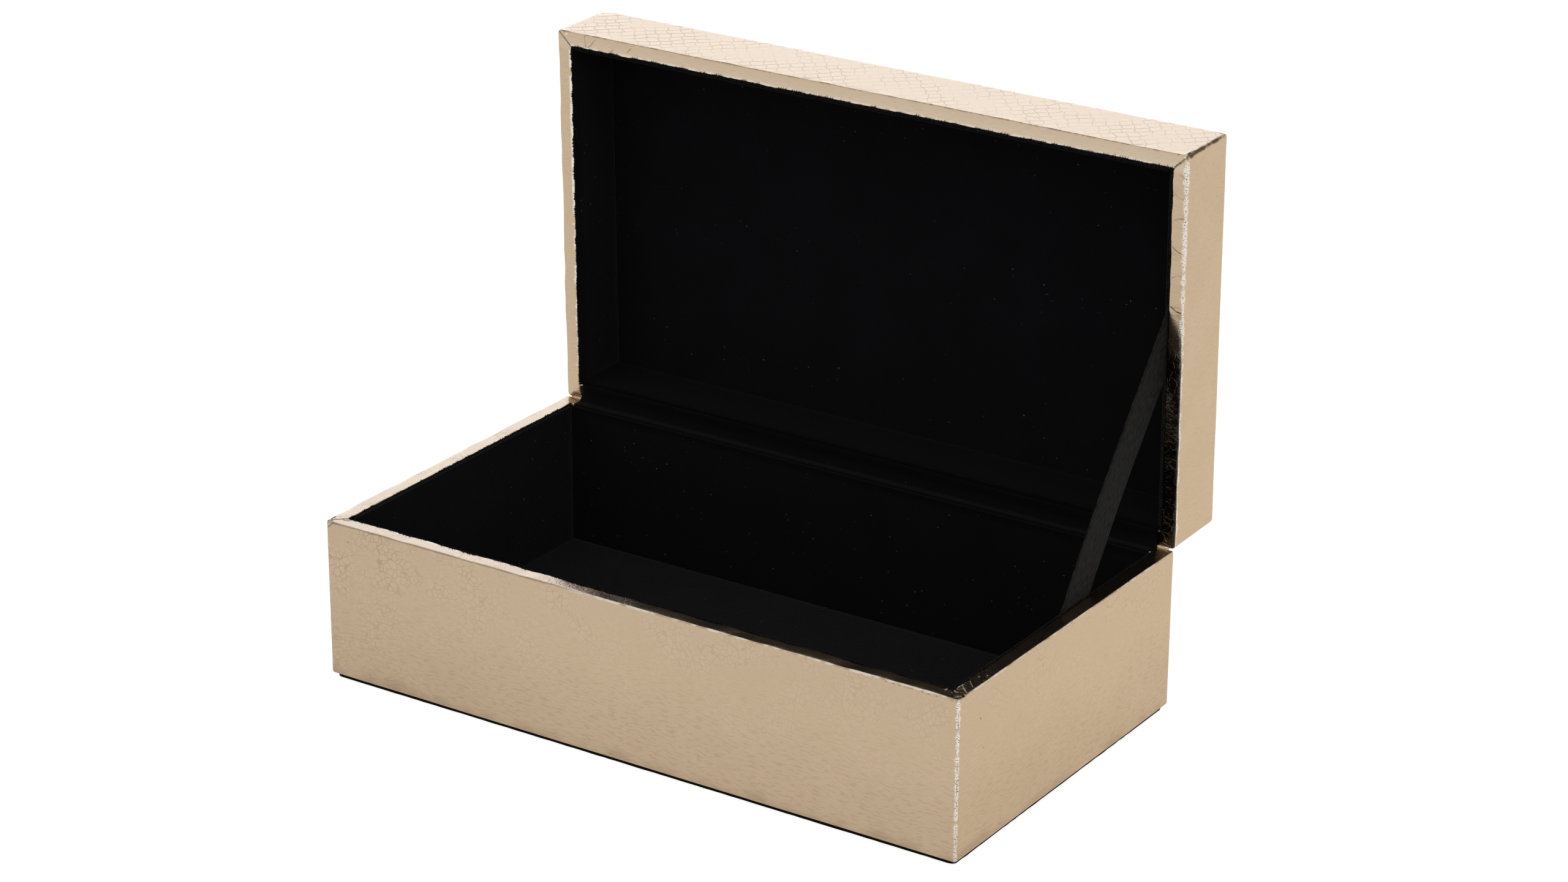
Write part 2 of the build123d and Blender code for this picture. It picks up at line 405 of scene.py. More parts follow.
# %% Ribbon
RIB_MM = 0.9
ribbon_cloth, tree, shader = new_material("black_woven_polyester_ribbon")
uv = add_node(tree, "UVMap", {"uv_map": "sheet"})
cloth_mm = add_node(tree, "VectorMath", {"operation": "SCALE"}, in0=uv, Scale=2 * math.pi / (RIB_MM * MM))
cloth = add_node(tree, "SeparateXYZ", Vector=cloth_mm)
ribs = add_node(tree, "Math", {"operation": "SINE"}, in0=cloth.outputs["X"])
threads = add_node(tree, "Math", {"operation": "SINE"}, in0=cloth.outputs["Y"])
weave = add_node(tree, "Math", TIMES, in0=ribs, in1=threads)
drawn = add_node(tree, "VectorMath", TIMES, in0=cloth_mm, in1=(0.05, 0.2, 1))
slub = add_node(tree, "TexNoise", Vector=drawn, Scale=1.0, Detail=4.0)
streaks = add_node(tree, "MapRange", Value=slub, From_Min=0.35, From_Max=0.65)
yarn = add_node(
    tree, "Mix", COLOURS, in0=streaks, in6=linear("#121213"), in7=linear("#32302e"),
).outputs[2]
SELVEDGE_LINE = 2 * math.pi / RIB_MM * 8.1
selvedge = add_node(
    tree, "Math", {"operation": "COMPARE"}, in0=cloth.outputs["Y"], in1=SELVEDGE_LINE, in2=1.4,
)
yarn = add_node(tree, "Mix", COLOURS, in0=selvedge, in6=yarn, in7=linear("#040404")).outputs[2]
tree.links.new(yarn, shader.inputs["Base Color"])
shader.inputs["Roughness"].default_value = 0.7
shader.inputs["Specular IOR Level"].default_value = 0.05
height = add_node(tree, "Math", TIMES_PLUS, in0=weave, in1=0.5, in2=slub)
relief = add_node(tree, "Bump", Strength=0.6, Distance=0.15 * MM, Height=height)
tree.links.new(relief.outputs[0], shader.inputs["Normal"])

# %% Fibreboard, on the CAD nodes that stay
fibreboard, tree, shader = new_material("medium_density_fibreboard")
place = add_node(tree, "TexCoord").outputs["Object"]
chips = add_node(tree, "TexNoise", Vector=place, Scale=700.0, Detail=4.0)
pressed = add_node(
    tree, "Mix", COLOURS, in0=chips, in6=linear("#8f7050"), in7=linear("#b39470"),
).outputs[2]
tree.links.new(pressed, shader.inputs["Base Color"])
shader.inputs["Roughness"].default_value = 0.8
relief = add_node(tree, "Bump", Strength=0.3, Distance=0.1 * MM, Height=chips)
tree.links.new(relief.outputs[0], shader.inputs["Normal"])

boards = [node for name, node in frame["nodes"].items() if name.endswith("_board")]
for board in boards:
    board.data.materials.clear()
    board.data.materials.append(fibreboard)
print(len(boards), "boards keep their CAD shape")

# %% [markdown]
# ## The two covers
#
# On the real box one sheet of leatherette goes round the walls of each half, is cut at the corners,
# folded over the rim and glued down inside. A block gives the outside. Its upright and closed-end
# edges are rounded, the rim is pulled in from the open end to the mouth, and the margin is drawn
# down inside. The sheet is modelled as a thin surface, so that a Solidify modifier can give it its
# thickness inwards. The corners of the rim are mitred, as the photograph shows.

# %% Form of a cover
CORNER = {"base": 1.2 * MM, "lid": 1.6 * MM}
RIM_ROUND = {"base": 0.7 * MM, "lid": 0.35 * MM}
MOUTH_ROUND = 0.6 * MM
TURN_IN = 15 * MM
TURN_UNDER = 14 * MM
STRIP_INSET = 2.5 * MM
STRIP_X = MOUTH_X - 1.4 * MM
OUTER_LEG = 12 * MM
COVERING = 0.8 * MM


def cover_form(half):
    """The sheet of leatherette round one half, in that half's own frame."""
    low, high = COVER[half]
    form = block(low, high)
    upright = [e for e in form.edges if abs(e.verts[0].co.z - e.verts[1].co.z) > MM]
    closed_end = [e for e in form.edges if all(v.co.z > high.z - 1e-6 for v in e.verts)]
    round_edges(form, upright + closed_end, CORNER[half], 6)
    rim = [f for f in form.faces if f.calc_center_median().z < low.z + 1e-6]
    bmesh.ops.delete(form, geom=rim, context="FACES_ONLY")

    # The rim goes in from the edge to the mouth, and every point of a corner meets in one point
    outer = [e for e in form.edges if e.is_boundary]
    turned = bmesh.ops.extrude_edge_only(form, edges=outer)["geom"]
    inner_verts = [g for g in turned if isinstance(g, bmesh.types.BMVert)]
    middle_y = -WIDTH / 2
    for v in inner_verts:
        v.co.x = math.copysign(MOUTH_X, v.co.x)
        v.co.y = middle_y + math.copysign(WIDTH / 2 - RIM_WIDTH, v.co.y - middle_y)
    bmesh.ops.remove_doubles(form, verts=inner_verts, dist=1e-6)

    # Of the folds in each corner only the mitre stays
    def is_fold(edge):
        a, b = (v.co for v in edge.verts)
        flat = max(a.z, b.z) < low.z + 1e-6
        return flat and (abs(abs(a.x) - MOUTH_X) < 1e-6) != (abs(abs(b.x) - MOUTH_X) < 1e-6)

    def off_mitre(edge):
        a, b = (v.co for v in edge.verts)
        return abs(abs(a.x - b.x) - abs(a.y - b.y)) > 0.05 * MM

    spare = [e for e in form.edges if is_fold(e) and off_mitre(e)]
    bmesh.ops.dissolve_edges(form, edges=spare, use_verts=False)

    mouth = [e for e in form.edges if e.is_boundary]
    margin = bmesh.ops.extrude_edge_only(form, edges=mouth)["geom"]
    down = [g for g in margin if isinstance(g, bmesh.types.BMVert)]
    bmesh.ops.translate(form, vec=(0, 0, TURN_IN - low.z), verts=down)
    mouth_y = WIDTH / 2 - RIM_WIDTH

    def past_mouth(v):
        return abs(v.co.x) > MOUTH_X + MM or abs(v.co.y - middle_y) > mouth_y + MM

    def in_mouth(v):
        return abs(v.co.x) < MOUTH_X + 1e-6 and abs(v.co.y - middle_y) < mouth_y + 1e-6

    for chosen, radius in ((past_mouth, RIM_ROUND[half]), (in_mouth, MOUTH_ROUND)):
        edges = [e for e in form.edges if all(v.co.z < low.z + 1e-6 and chosen(v) for v in e.verts)]
        round_edges(form, edges, radius, 4)
    print(half, "cover starts with", len(form.faces), "faces")
    return in_order(form)


# %% [markdown]
# The rear rim and the top of the back are left open for the two hinge strips, and under the base
# only a margin is turned in. Planes cut those outlines, and the faces between them are taken out.


# %% Openings of a cover
def cut_line(form, axis, place, near):
    """One cut through the faces near a place."""
    normal = Vector((0, 0, 0))
    normal[axis] = 1
    faces = [f for f in form.faces if near(f.calc_center_median())]
    parts = once([e for f in faces for e in f.edges] + [v for f in faces for v in f.verts])
    bmesh.ops.bisect_plane(
        form, geom=faces + parts, dist=1e-7, plane_co=normal * place, plane_no=normal
    )


def open_cover(form, half):
    """Takes out what the hinge strips and the felt stand in for."""
    for side in (-1, 1):
        cut_line(form, 0, side * STRIP_X, lambda c: c.y > -RIM_WIDTH - MM and c.z < TURN_IN)
        cut_line(form, 0, side * (LENGTH / 2 - STRIP_INSET), lambda c: c.y > -COVERING)
    cut_line(form, 2, OUTER_LEG, lambda c: c.y > -COVERING)

    def is_gone(c):
        rear_rim = abs(c.x) < STRIP_X and c.y > -RIM_WIDTH - 0.01 * MM and c.z < TURN_IN
        behind = abs(c.x) < LENGTH / 2 - STRIP_INSET and c.y > -COVERING and c.z < OUTER_LEG
        return rear_rim or behind

    gone = [f for f in form.faces if is_gone(f.calc_center_median())]
    if half == "base":
        bottom = COVER[half][1].z
        under = [f for f in form.faces if f.calc_center_median().z > bottom - 1e-6]
        inset = bmesh.ops.inset_region(form, faces=under, thickness=TURN_UNDER - CORNER[half])
        gone += [f for f in form.faces if f in under]
        print("turned under:", len(inset["faces"]), "faces")
    bmesh.ops.delete(form, geom=once(gone), context="FACES")


# %% [markdown]
# ## Folds, seams, wear and painted light
#
# A glued sheet is never quite flat: its edges wander by a few tenths of a millimetre, and at the
# corners it is folded. A mark presses a groove or raises a ridge along a line, and paints the
# attributes that the material reads: wear, painted shade in folds and creases, and painted
# highlights on ridges and rounded edges. All marks of a cover are gathered first, so that its mesh is
# cut fine round them in one go. Lines are given in millimetres in the frame of the half.


# %% Marks along lines
Mark = namedtuple("Mark", "points reach size depth shade worn share")


def dots(spacing, covered=0.5):
    """A beat of irregular dots about a spacing apart in mm, over about that share of a line."""
    def beat(along):
        rise = noise.noise(Vector((1.6 * along / spacing, 5.5, covered)))
        return smooth_step(0.5 + 3 * (rise + covered - 0.5))

    return beat


def groove(points_mm, width, depth, shade=0.0, worn=0.0, beat=None, size=None):
    """A groove of that half width and depth in mm along a line; a negative depth raises it.

    Its shade is painted shade, or a painted highlight where it is negative. A beat gives how much of it
    there is, from 0 to 1, so many millimetres along the line.
    """
    def share(distance, along):
        return math.exp(-((distance / width) ** 2)) * (beat(along) if beat else 1.0)

    return Mark(points_mm, 2.2 * width, size or max(width, 0.32), depth, shade, worn, share)


def patch(start_mm, end_mm, width, shade=0.0, worn=0.0, rough=0.3, beat=None, narrower=0.0):
    """Paint along a straight edge, as far as a border that wanders, narrower by so much per mm."""
    def share(distance, along):
        ragged = 2 * rough * noise.noise(Vector((along * 0.42, width, worn)))
        border = width * (1 - narrower * along + ragged)
        inside = max(0.0, min(1.0, (border - distance) / (0.3 * width)))
        return inside * (beat(along) if beat else 1.0)

    return Mark([start_mm, end_mm], width * (1 + rough), 0.8, 0.0, shade, worn, share)


def nearest(point, points):
    """Distance from a point to a line through points, and how far along the line that is."""
    best, run = (1e3, 0.0), 0.0
    for a, b in zip(points, points[1:]):
        line = b - a
        share = max(0.0, min(1.0, (point - a).dot(line) / max(line.length_squared, 1e-6)))
        best = min(best, ((point - a - line * share).length, run + share * line.length))
        run += line.length
    return best


# %% Cutting the mesh for the marks, and pressing them in
def refine(form, marks):
    """Splits the faces near the marks into triangles with edges of the size each asks for."""
    boxes = []
    for mark in marks:
        low = [min(p[i] for p in mark.points) - mark.reach for i in range(3)]
        high = [max(p[i] for p in mark.points) + mark.reach for i in range(3)]
        boxes.append((mark, *low, *high))

    def wanted(face):
        c = face.calc_center_median() / MM
        spare = max((v.co / MM - c).length for v in face.verts)
        x, y, z = c
        sizes = [
            mark.size for mark, x0, y0, z0, x1, y1, z1 in boxes
            if x0 - spare < x < x1 + spare and y0 - spare < y < y1 + spare and z0 - spare < z < z1 + spare
            and mark.size < 1.6 * spare and nearest(c, mark.points)[0] < mark.reach + 0.6 * spare
        ]
        return min(sizes, default=None)

    faces = form.faces[:]
    for _ in range(6):
        sizes = [(f, wanted(f)) for f in faces]
        sizes = [(f, size) for f, size in sizes if size]
        edges = once(e for f, size in sizes for e in f.edges if e.calc_length() > 1.3 * size * MM)
        if not edges:
            break
        split = bmesh.ops.subdivide_edges(form, edges=edges, cuts=1)["geom"]
        many = once(f for g in split if isinstance(g, bmesh.types.BMVert) for f in g.link_faces)
        faces = once(bmesh.ops.triangulate(form, faces=many)["faces"])


def press(form, marks):
    """Cuts the mesh and presses and paints every mark."""
    marks = [m._replace(points=[Vector(p) for p in m.points]) for m in marks]
    refine(form, marks)
    form.normal_update()
    form.verts.ensure_lookup_table()
    tree = kdtree.KDTree(len(form.verts))
    for v in form.verts:
        tree.insert(v.co / MM, v.index)
    tree.balance()
    shade, worn = (form.verts.layers.float[name] for name in ("shade", "worn"))
    for mark in marks:
        middle = sum(mark.points, Vector()) / len(mark.points)
        radius = mark.reach + max((p - middle).length for p in mark.points)
        for place, index, _ in tree.find_range(middle, radius):
            distance, along = nearest(place, mark.points)
            if distance < mark.reach:
                v, share = form.verts[index], mark.share(distance, along)
                v[shade] = max(v[shade], share * mark.shade, key=abs)
                v[worn] = max(v[worn], share * mark.worn)
                v.co -= v.normal * mark.depth * MM * share
    print(len(marks), "marks,", len(form.faces), "faces")


# %% Waviness and UV map of a cover
BROAD_WAVE = 0.07 * MM
RIM_WAVE = 0.4 * MM


def waver(form, half):
    """Lets the glued sheet wander, most along the edge of the rim."""
    low = COVER[half][0]
    seed = Vector((3.1, 7.7, 1.3)) if half == "base" else Vector((9.2, 0.4, 5.8))
    form.normal_update()
    shifts = []
    for v in form.verts:
        broad = noise.noise(v.co * 38 + seed) * BROAD_WAVE
        from_rim = max(0.0, 1 - abs(v.co.z - low.z) / (2.5 * MM))
        local = noise.noise(v.co * 105 + seed) * RIM_WAVE * from_rim
        shifts.append((v, v.normal * (broad + local)))
    for v, shift in shifts:
        v.co += shift
        v.co.z = max(v.co.z, low.z - 0.08 * MM)


def map_sheet(form, half):
    """The sheet's own UV map in metres.

    The base's sheet runs round its walls. The lid's comes down from the top on all four sides.
    """
    layer = form.loops.layers.uv.new("sheet")
    for face in form.faces:
        c, n = face.calc_center_median(), face.normal
        to_side = LENGTH / 2 - abs(c.x)
        to_end = WIDTH / 2 - abs(c.y + WIDTH / 2)
        on_side = to_side < to_end
        for loop in face.loops:
            p = loop.vert.co
            u = p.y if on_side else p.x
            inward = LENGTH / 2 - abs(p.x) if on_side else WIDTH / 2 - abs(p.y + WIDTH / 2)
            height = -inward if n.z < -0.7 else p.z
            if n.z > 0.7:
                loop[layer].uv = (p.x, p.y)
            else:
                loop[layer].uv = (height, u) if half == "lid" and on_side else (u, height)


def lay_cover(form, half):
    """How deep the scales, ripples and net are, all over a cover, and where painted shade and painted
    highlights lie on it.
    """
    low, high = COVER[half]
    layers = form.verts.layers.float
    for v in form.verts:
        on_rim = v.co.z < low.z + 0.3 * MM
        down = v.co.z / high.z
        if half == "lid":
            on_front = v.co.y < -WIDTH + 1.5 * MM or v.co.z > high.z - 0.5 * MM
            at_ribbon = v.co.x > 0 and smooth_step((v.co.y + 95 * MM) / (15 * MM))
            at_left = smooth_step((-v.co.x - 70 * MM) / (40 * MM))
            on_wall = 0.8 + 0.4 * at_left if on_front else 0.15
            v[layers["emboss"]] = 0.12 * (1 - at_ribbon) if on_rim else on_wall
            v[layers["net"]] = 1.3 * at_ribbon if on_rim else 0.0
            across = smooth_step((v.co.y + WIDTH) / RIM_WIDTH)
            to_right = smooth_step(v.co.x / LENGTH + 0.4)
            # Painted highlight on the front rim, lighter towards the mouth and to the right; on the right
            # rim beside the ribbon, painted dark reflection of the black inside
            painted_rim_highlight = 0.02 + 0.05 * to_right + 0.12 * across if v.co.y < RIM_WIDTH - WIDTH else 0.0
            v[layers["shade"]] = 0.93 * at_ribbon - painted_rim_highlight if on_rim else 0.0
            v[layers["ripple"]] = 0.2 if on_front else 0.5
        else:
            v[layers["emboss"]] = 0.3 if on_rim else 0.05
            v[layers["ripple"]] = 0.25 + 0.75 * smooth_step((down - 0.1) / 0.7)
            to_left = 0.35 * smooth_step(v.co.x / LENGTH + 0.1)
            on_wall = 0.3 - 0.2 * smooth_step(down) + to_left
            v[layers["net"]] = 1.0 if on_rim and v.co.x < -MOUTH_X else on_wall
            # Painted shade: darker in a ragged band along the bottom and towards the bottom, and on the
            # front towards the left
            painted_bottom_shade = smooth_step((v.co.z - high.z) / (5 * MM) + 0.9 + noise.noise(v.co * 90))
            painted_left_shade = 0.06 * smooth_step(v.co.x / (LENGTH / 2)) if v.co.y < MM - WIDTH else 0.0
            v[layers["shade"]] = 0.2 * painted_bottom_shade + 0.1 * smooth_step((down - 0.3) / 0.7) + painted_left_shade


# %% [markdown]
# The base's cover first. Its front right edge is worn pale all the way down, which also stands as a
# painted glint. The front and right edges of its rim and the edge of its mouth carry painted
# highlights. Each corner of the rim has its mitre, drawn as a narrow groove with painted shade in it.

# %% Cover of the base
COVER_THICKNESS = 0.6 * MM
MESH_STEP = {"base": 2.6 * MM, "lid": 2.8 * MM}
half_length, full_width = LENGTH / 2 / MM, WIDTH / MM


def start_cover(half):
    """The opened and finely cut cover of a half, with its attributes."""
    form = cover_form(half)
    open_cover(form, half)
    for name in ("emboss", "ripple", "net", "worn", "shade"):
        form.verts.layers.float.new(name)
    for axis in range(3):
        slice_mesh(form, axis, MESH_STEP[half])
    lay_cover(form, half)
    waver(form, half)
    return form


def on_rim(half, *points):
    """Points of a half's rim, from x and y in mm."""
    return [(x, y, COVER[half][0].z / MM) for x, y in points]


def mitres(half, shade):
    """The grooves where the folded margins meet, at the front corners of the rim, darkened with painted
    shade.
    """
    outside = half_length - 0.5, 0.5 - full_width
    inside = MOUTH_X / MM - 0.1, RIM_WIDTH / MM + 0.1 - full_width
    lines = [on_rim(half, *((side * x, y) for x, y in (outside, inside))) for side in (-1, 1)]
    return [groove(line, 0.26, 0.16, shade) for line in lines]


def end_cover(form, half, name):
    """Maps, places and finishes a cover; nothing on a rim stands in the way of the other rim."""
    for v in form.verts:
        v.co.z = max(v.co.z, 0.03 * MM)
    # Where marks cross, a few slivers turn over: their points are taken out again
    for _ in range(4):
        bmesh.ops.dissolve_degenerate(form, dist=0.03 * MM, edges=form.edges)
        form.normal_update()
        over = [v for v in form.verts if v.co.z < 0.5 * MM and v.normal.z > 0.1]
        bmesh.ops.dissolve_verts(form, verts=over)
        bmesh.ops.triangulate(form, faces=[f for f in form.faces if len(f.verts) > 4])
        print(len(over), "points turned over")
    form.normal_update()
    map_sheet(form, half)
    bmesh.ops.transform(form, matrix=PLACE[half], verts=form.verts)
    piece = finish_piece(form, name, leatherette, smooth_angle=60)
    thicken(piece, COVER_THICKNESS)
    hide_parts(f"{half}_cover")
    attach(piece, half)
    return piece


def rim_grooves(half, width, depth, shade, lines):
    """Like grooves on the rim, along lines from x and y in mm."""
    return [groove(on_rim(half, *line), width, depth, shade) for line in lines]


form = start_cover("base")
right, front, mouth = RIGHT["base"] * half_length, -full_width, MOUTH_X / MM
bottom = COVER["base"][1].z / MM
BASE_MARKS = [
    # Edges: the front right one worn pale, which also stands as a painted glint, the front left one in
    # painted shade; painted highlights along the front and right of the rim and along the mouth; a
    # dotted painted dark reflection under the front edge, and painted shade in split lines down the
    # front right edge and under its top
    patch((right, front, 0), (right, front, bottom), 1.1, worn=1.0, rough=0.4),
    patch((-right, front, 0), (-right, front, bottom), 0.9, shade=0.35),
    patch((40, front, 0.1), (right, front, 0.1), 0.55, -0.8, beat=lambda along: smooth_step(along / 30)),
    patch((right, front, 0.15), (right, 0, 0.15), 0.4, shade=-0.6, rough=0.3),
    patch((mouth, front + 6.3, 0.15), (55, front + 6.3, 0.15), 0.4, -0.5, beat=dots(9, 0.9)),
    groove([(146, front, 0.5), (40, front, 0.5)], 0.45, 0.0, 0.22, beat=dots(7, 0.7), size=0.5),
    groove([(right + 0.3, front + 0.3, z) for z in (6, 62)], 0.18, 0.08, 0.8, beat=dots(5, 0.5)),
    groove([(right + 1, front, 1.2), (right + 32, front, 0.9)], 0.25, 0.05, 0.6, beat=dots(2, 0.4)),
    # At the left front corner the margin is tucked in with two folds, one over the edge, both darkened with
    # painted shade
    groove(
        [(149.1, -161.7, 0.15), (149.2, -164.1, 0.15), (146.9, -166.3, 0.5), (143, -166.5, 0.4)],
        0.28, 0.3, 0.7,
    ),
    groove([(149.4, -166.3, 3.0), (147.9, -166.5, 1.9), (146.9, -166.4, 0.5)], 0.28, 0.3, 0.7),
    # Small knocks in the front and the right face, darkened with painted shade
    groove([(138.8, front, 7.0), (138.7, front, 7.3)], 0.25, 0.1, 0.8),
    groove([(right, -150.4, 14.0), (right, -150.2, 14.4)], 0.25, 0.12, 0.9),
    groove([(right, -148.2, 27.0), (right, -148.0, 27.4)], 0.25, 0.12, 0.5),
]
BASE_MARKS += mitres("base", 0.5)
# Creases on the rim at the left front corner, darkened with painted shade
BASE_MARKS += rim_grooves("base", 0.2, 0.15, 0.5, [
    [(145.2, -161.8), (141.9, -161.1)], [(144.0, -162.5), (141.7, -161.7)],
])
BASE_MARKS += rim_grooves("base", 0.25, 0.1, 0.8, [
    [(147.3, -160.8), (147.0, -160.7)], [(146.1, -158.4), (145.8, -158.4)],
])
# At the right front corner the foil has cracked into raised ridges lit with painted highlights, with two
# dark holes between, darkened with painted shade
BASE_MARKS += rim_grooves("base", 0.2, -0.12, -1.0, [
    [(-142.9, -159.5), (-146.0, -160.6)], [(-143.7, -158.2), (-144.3, -154.3)],
    [(-144.5, -155.1), (-148.9, -159.3)], [(-144.9, -150.3), (-148.4, -154.1)],
])
BASE_MARKS += rim_grooves("base", 0.3, -0.15, -1.0, [
    [(-145.7, -145.4), (-145.8, -144.8)], [(-148.0, -142.8), (-147.8, -142.2)],
])
BASE_MARKS += rim_grooves("base", 0.22, -0.15, -0.9, [[(-141.0, -161.4), (-141.2, -159.9)]])
BASE_MARKS += rim_grooves("base", 0.3, -0.2, -1.0, [[(-146.6, -163.6), (-148.6, -163.0)]])
BASE_MARKS += rim_grooves("base", 0.45, 0.15, 0.9, [[(-147.3, -165.5), (-148.0, -164.6)]])
BASE_MARKS += rim_grooves("base", 0.4, 0.2, 0.9, [[(-149.6, -162.6), (-149.3, -161.5)]])
press(form, BASE_MARKS)
base_cover = end_cover(form, "base", "base_cover_leatherette")

# %% [markdown]
# The lid's cover has rounder corners and a sharper rim. Its right rim is worn pale and cracked along
# the outer edge, which also stands as a painted glint; the left one carries broken painted highlights
# along the mouth. The edge between the front and the right face carries a band of painted shade.

# %% Cover of the lid
form = start_cover("lid")
right, mouth = RIGHT["lid"] * half_length, MOUTH_X / MM
top = COVER["lid"][1].z / MM
LID_MARKS = [
    # A knock at the far left corner, with dark flakes along the edge
    groove([(-right, front, top), (-right, front, top - 0.1)], 4.5, 0.75, size=1.2),
    groove([(-148.6, front, 26.0), (-149.4, front, 25.6)], 0.5, 0, 0.9),
    groove([(-149.2, front, 18.0), (-149.4, front, 17.0)], 0.4, 0, 0.8),
    groove([(-144.2, front, 31.6), (-143.6, front, 31.7)], 0.45, 0, 0.8),
    # Edges of the rim: the right one worn pale, which also stands as a painted glint, painted highlights
    # along the left mouth and the front mouth, a band of painted shade on the edge between the front and
    # the right face, a dotted painted dark reflection along the front rim's outer edge, and painted shade
    # in a groove along the right face's rear edge
    patch((right, front + 3, 0.15), (right, 0, 0.15), 1.3, worn=1.0, rough=0.5),
    patch((-mouth - 0.5, -158, 0.15), (-mouth - 0.5, -86, 0.15), 0.75, -1.0, beat=dots(4.6, 0.85)),
    patch((-mouth - 0.4, -86, 0.15), (-mouth - 0.4, -14, 0.15), 0.6, -1.0, beat=dots(2, 0.6)),
    patch((right, front, 3), (right, front, top), 1.6, shade=0.9, rough=0.2, narrower=0.013),
    patch((-mouth, front + 5.9, 0.15), (mouth, front + 5.9, 0.15), 0.45, -0.5, beat=dots(9, 0.9)),
    groove(
        [(1.5 - right, front, 0.2), (right - 3, front, 0.2)],
        0.28, 0.0, 0.5, beat=dots(3, 0.5), size=0.5,
    ),
    groove([(right, -0.4, 1.5), (right, -0.6, 28)], 0.45, 0.15, 0.7),
    # The pleat at the right corner stands up, with a painted highlight on it and a painted shadow beside it;
    # a small crease near the closed end is darkened with painted shade
    groove([(148.7, -165.5, 0.15), (148.4, -166.4, 0.9), (148.2, -166.5, 6.0)], 0.4, -0.5, -1.0),
    groove([(149.6, -165.3, 0.15), (149.4, -166.3, 0.9), (149.0, -166.5, 7.0)], 0.35, 0.3, 0.9),
    groove([(148.4, front, 31.1), (147.6, front, 31.0)], 0.3, 0.12, 0.6),
]
LID_MARKS += mitres("lid", 0.8)
# Left corner of the front rim: creases darkened with painted shade, ridges lit with painted highlights
LID_MARKS += rim_grooves("lid", 0.25, 0.15, 0.3, [[(-136.4, -166.2), (-136.0, -159.9)]])
LID_MARKS += rim_grooves("lid", 0.25, -0.15, -0.2, [[(-135.7, -166.2), (-135.3, -160.1)]])
LID_MARKS += rim_grooves("lid", 0.2, 0.15, 0.5, [
    [(-131.6, -164.4), (-133.2, -162.2), (-135.3, -160.8)],
    [(-122.0, -162.3), (-124.0, -160.0)], [(-112.7, -164.4), (-114.4, -162.5)],
])
LID_MARKS += rim_grooves("lid", 0.3, 0.1, 0.8, [[(-146.9, -166.3), (-146.6, -166.3)]])
LID_MARKS += rim_grooves("lid", 0.4, -0.1, -1.0, [[(-145.9, -165.3), (-145.6, -165.3)]])
# Right rim: the fold at the corner and bowed creases, darkened with painted shade, and cut ends of foil that
# stand up at the hinge, lit with painted highlights, with painted shade beside them
LID_MARKS += rim_grooves("lid", 0.2, 0.08, 0.5, [[(148.4, -164.2), (147.0, -162.9), (143.9, -160.9)]])
LID_MARKS += rim_grooves("lid", 0.2, 0.08, 0.35, [[(146.5, -158.3), (149.2, -157.0)]])
LID_MARKS += rim_grooves("lid", 0.2, 0.08, 0.35, [
    [(144.4, y), (146.6, y + bow), (148.7, y + 1.3 * bow)]
    for y, bow in ((-150, 1.4), (-139, -1.0), (-128, 1.8), (-115, -1.2), (-103, 1.5), (-89, -1.6))
])
LID_MARKS += rim_grooves("lid", 0.3, -0.3, -1.0, [
    [(143.4, -6.3), (145.2, -4.3), (146.1, -2.8)], [(144.2, -2.1), (146.4, -1.3), (148.4, -0.6)],
])
LID_MARKS += rim_grooves("lid", 0.3, 0.2, 0.9, [[(143.6, -1.3), (146.6, -0.6)]])
# Beside the ribbon the foil is full of short raised cracks, lit with painted highlights
draw = random.Random("cracks beside the ribbon")
for _ in range(90):
    x, y = draw.uniform(143.8, 147.6), draw.uniform(-70, -7)
    line = on_rim("lid", (x, y), (x + draw.uniform(-1.1, 1.1), y + draw.uniform(-1.6, 1.6)))
    LID_MARKS.append(groove(line, 0.18, -0.08, -draw.uniform(0.5, 1.0), size=0.3))
press(form, LID_MARKS)
lid_cover = end_cover(form, "lid", "lid_cover_leatherette")

# %% [markdown]
# ## Velvet linings
#
# Each wall inside is a strip of thin card wrapped in velvet and glued in, with a pad on the floor
# and in the top. A wrapped edge is soft and round. The panels behind which the ribbon is glued are
# hollowed a little at the back.

# %% Lining panels
LINING_ROUND = 0.5 * MM
POCKET_DEPTH = 0.75 * MM
RIBBON_POCKETS = {
    "base": ((-91, -44), 24),
    "lid": ((-135, -71), 25),
}


def lining_panel(half, place):
    """One velvet panel, from the box of its CAD node."""
    node = f"{half}_{place}_lining"
    low, high = own_box(node, half)
    form = block(low, high)
    round_edges(form, form.edges[:], LINING_ROUND, 3)
    for axis in range(3):
        slice_mesh(form, axis, 4 * MM)
    if place == "right":
        (y0, y1), z1 = RIBBON_POCKETS[half]
        outer_x = max(low.x, high.x, key=abs)
        for axis, places in ((1, (y0, y0 + 0.6, y1 - 0.6, y1)), (2, (z1 - 0.6, z1))):
            for p in places:
                cut_line(form, axis, p * MM, lambda c: True)
        for v in form.verts:
            in_pocket = (y0 + 0.5) * MM < v.co.y < (y1 - 0.5) * MM and v.co.z < (z1 - 0.5) * MM
            if in_pocket and abs(v.co.x - outer_x) < 0.55 * MM:
                v.co.x -= math.copysign(POCKET_DEPTH, outer_x)
    form.normal_update()
    nap_and_painted_shade = form.verts.layers.float.new("painted_velvet_shade")
    for v, shift in [(v, v.normal * noise.noise(v.co * 160) * 0.1 * MM) for v in form.verts]:
        v.co += shift
        # Painted shade on the whole rear panel of the lid and on the top of the base's rear panel, near the
        # mouth
        v[nap_and_painted_shade] = 1.0 if place == "rear" and (half == "lid" or v.co.z < low.z + 2 * MM) else 0.0
    bmesh.ops.transform(form, matrix=PLACE[half], verts=form.verts)
    piece = finish_piece(form, f"{half}_{place}_velvet", velvet)
    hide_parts(node)
    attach(piece, half)
    return piece, sorted(high - low)[1:]


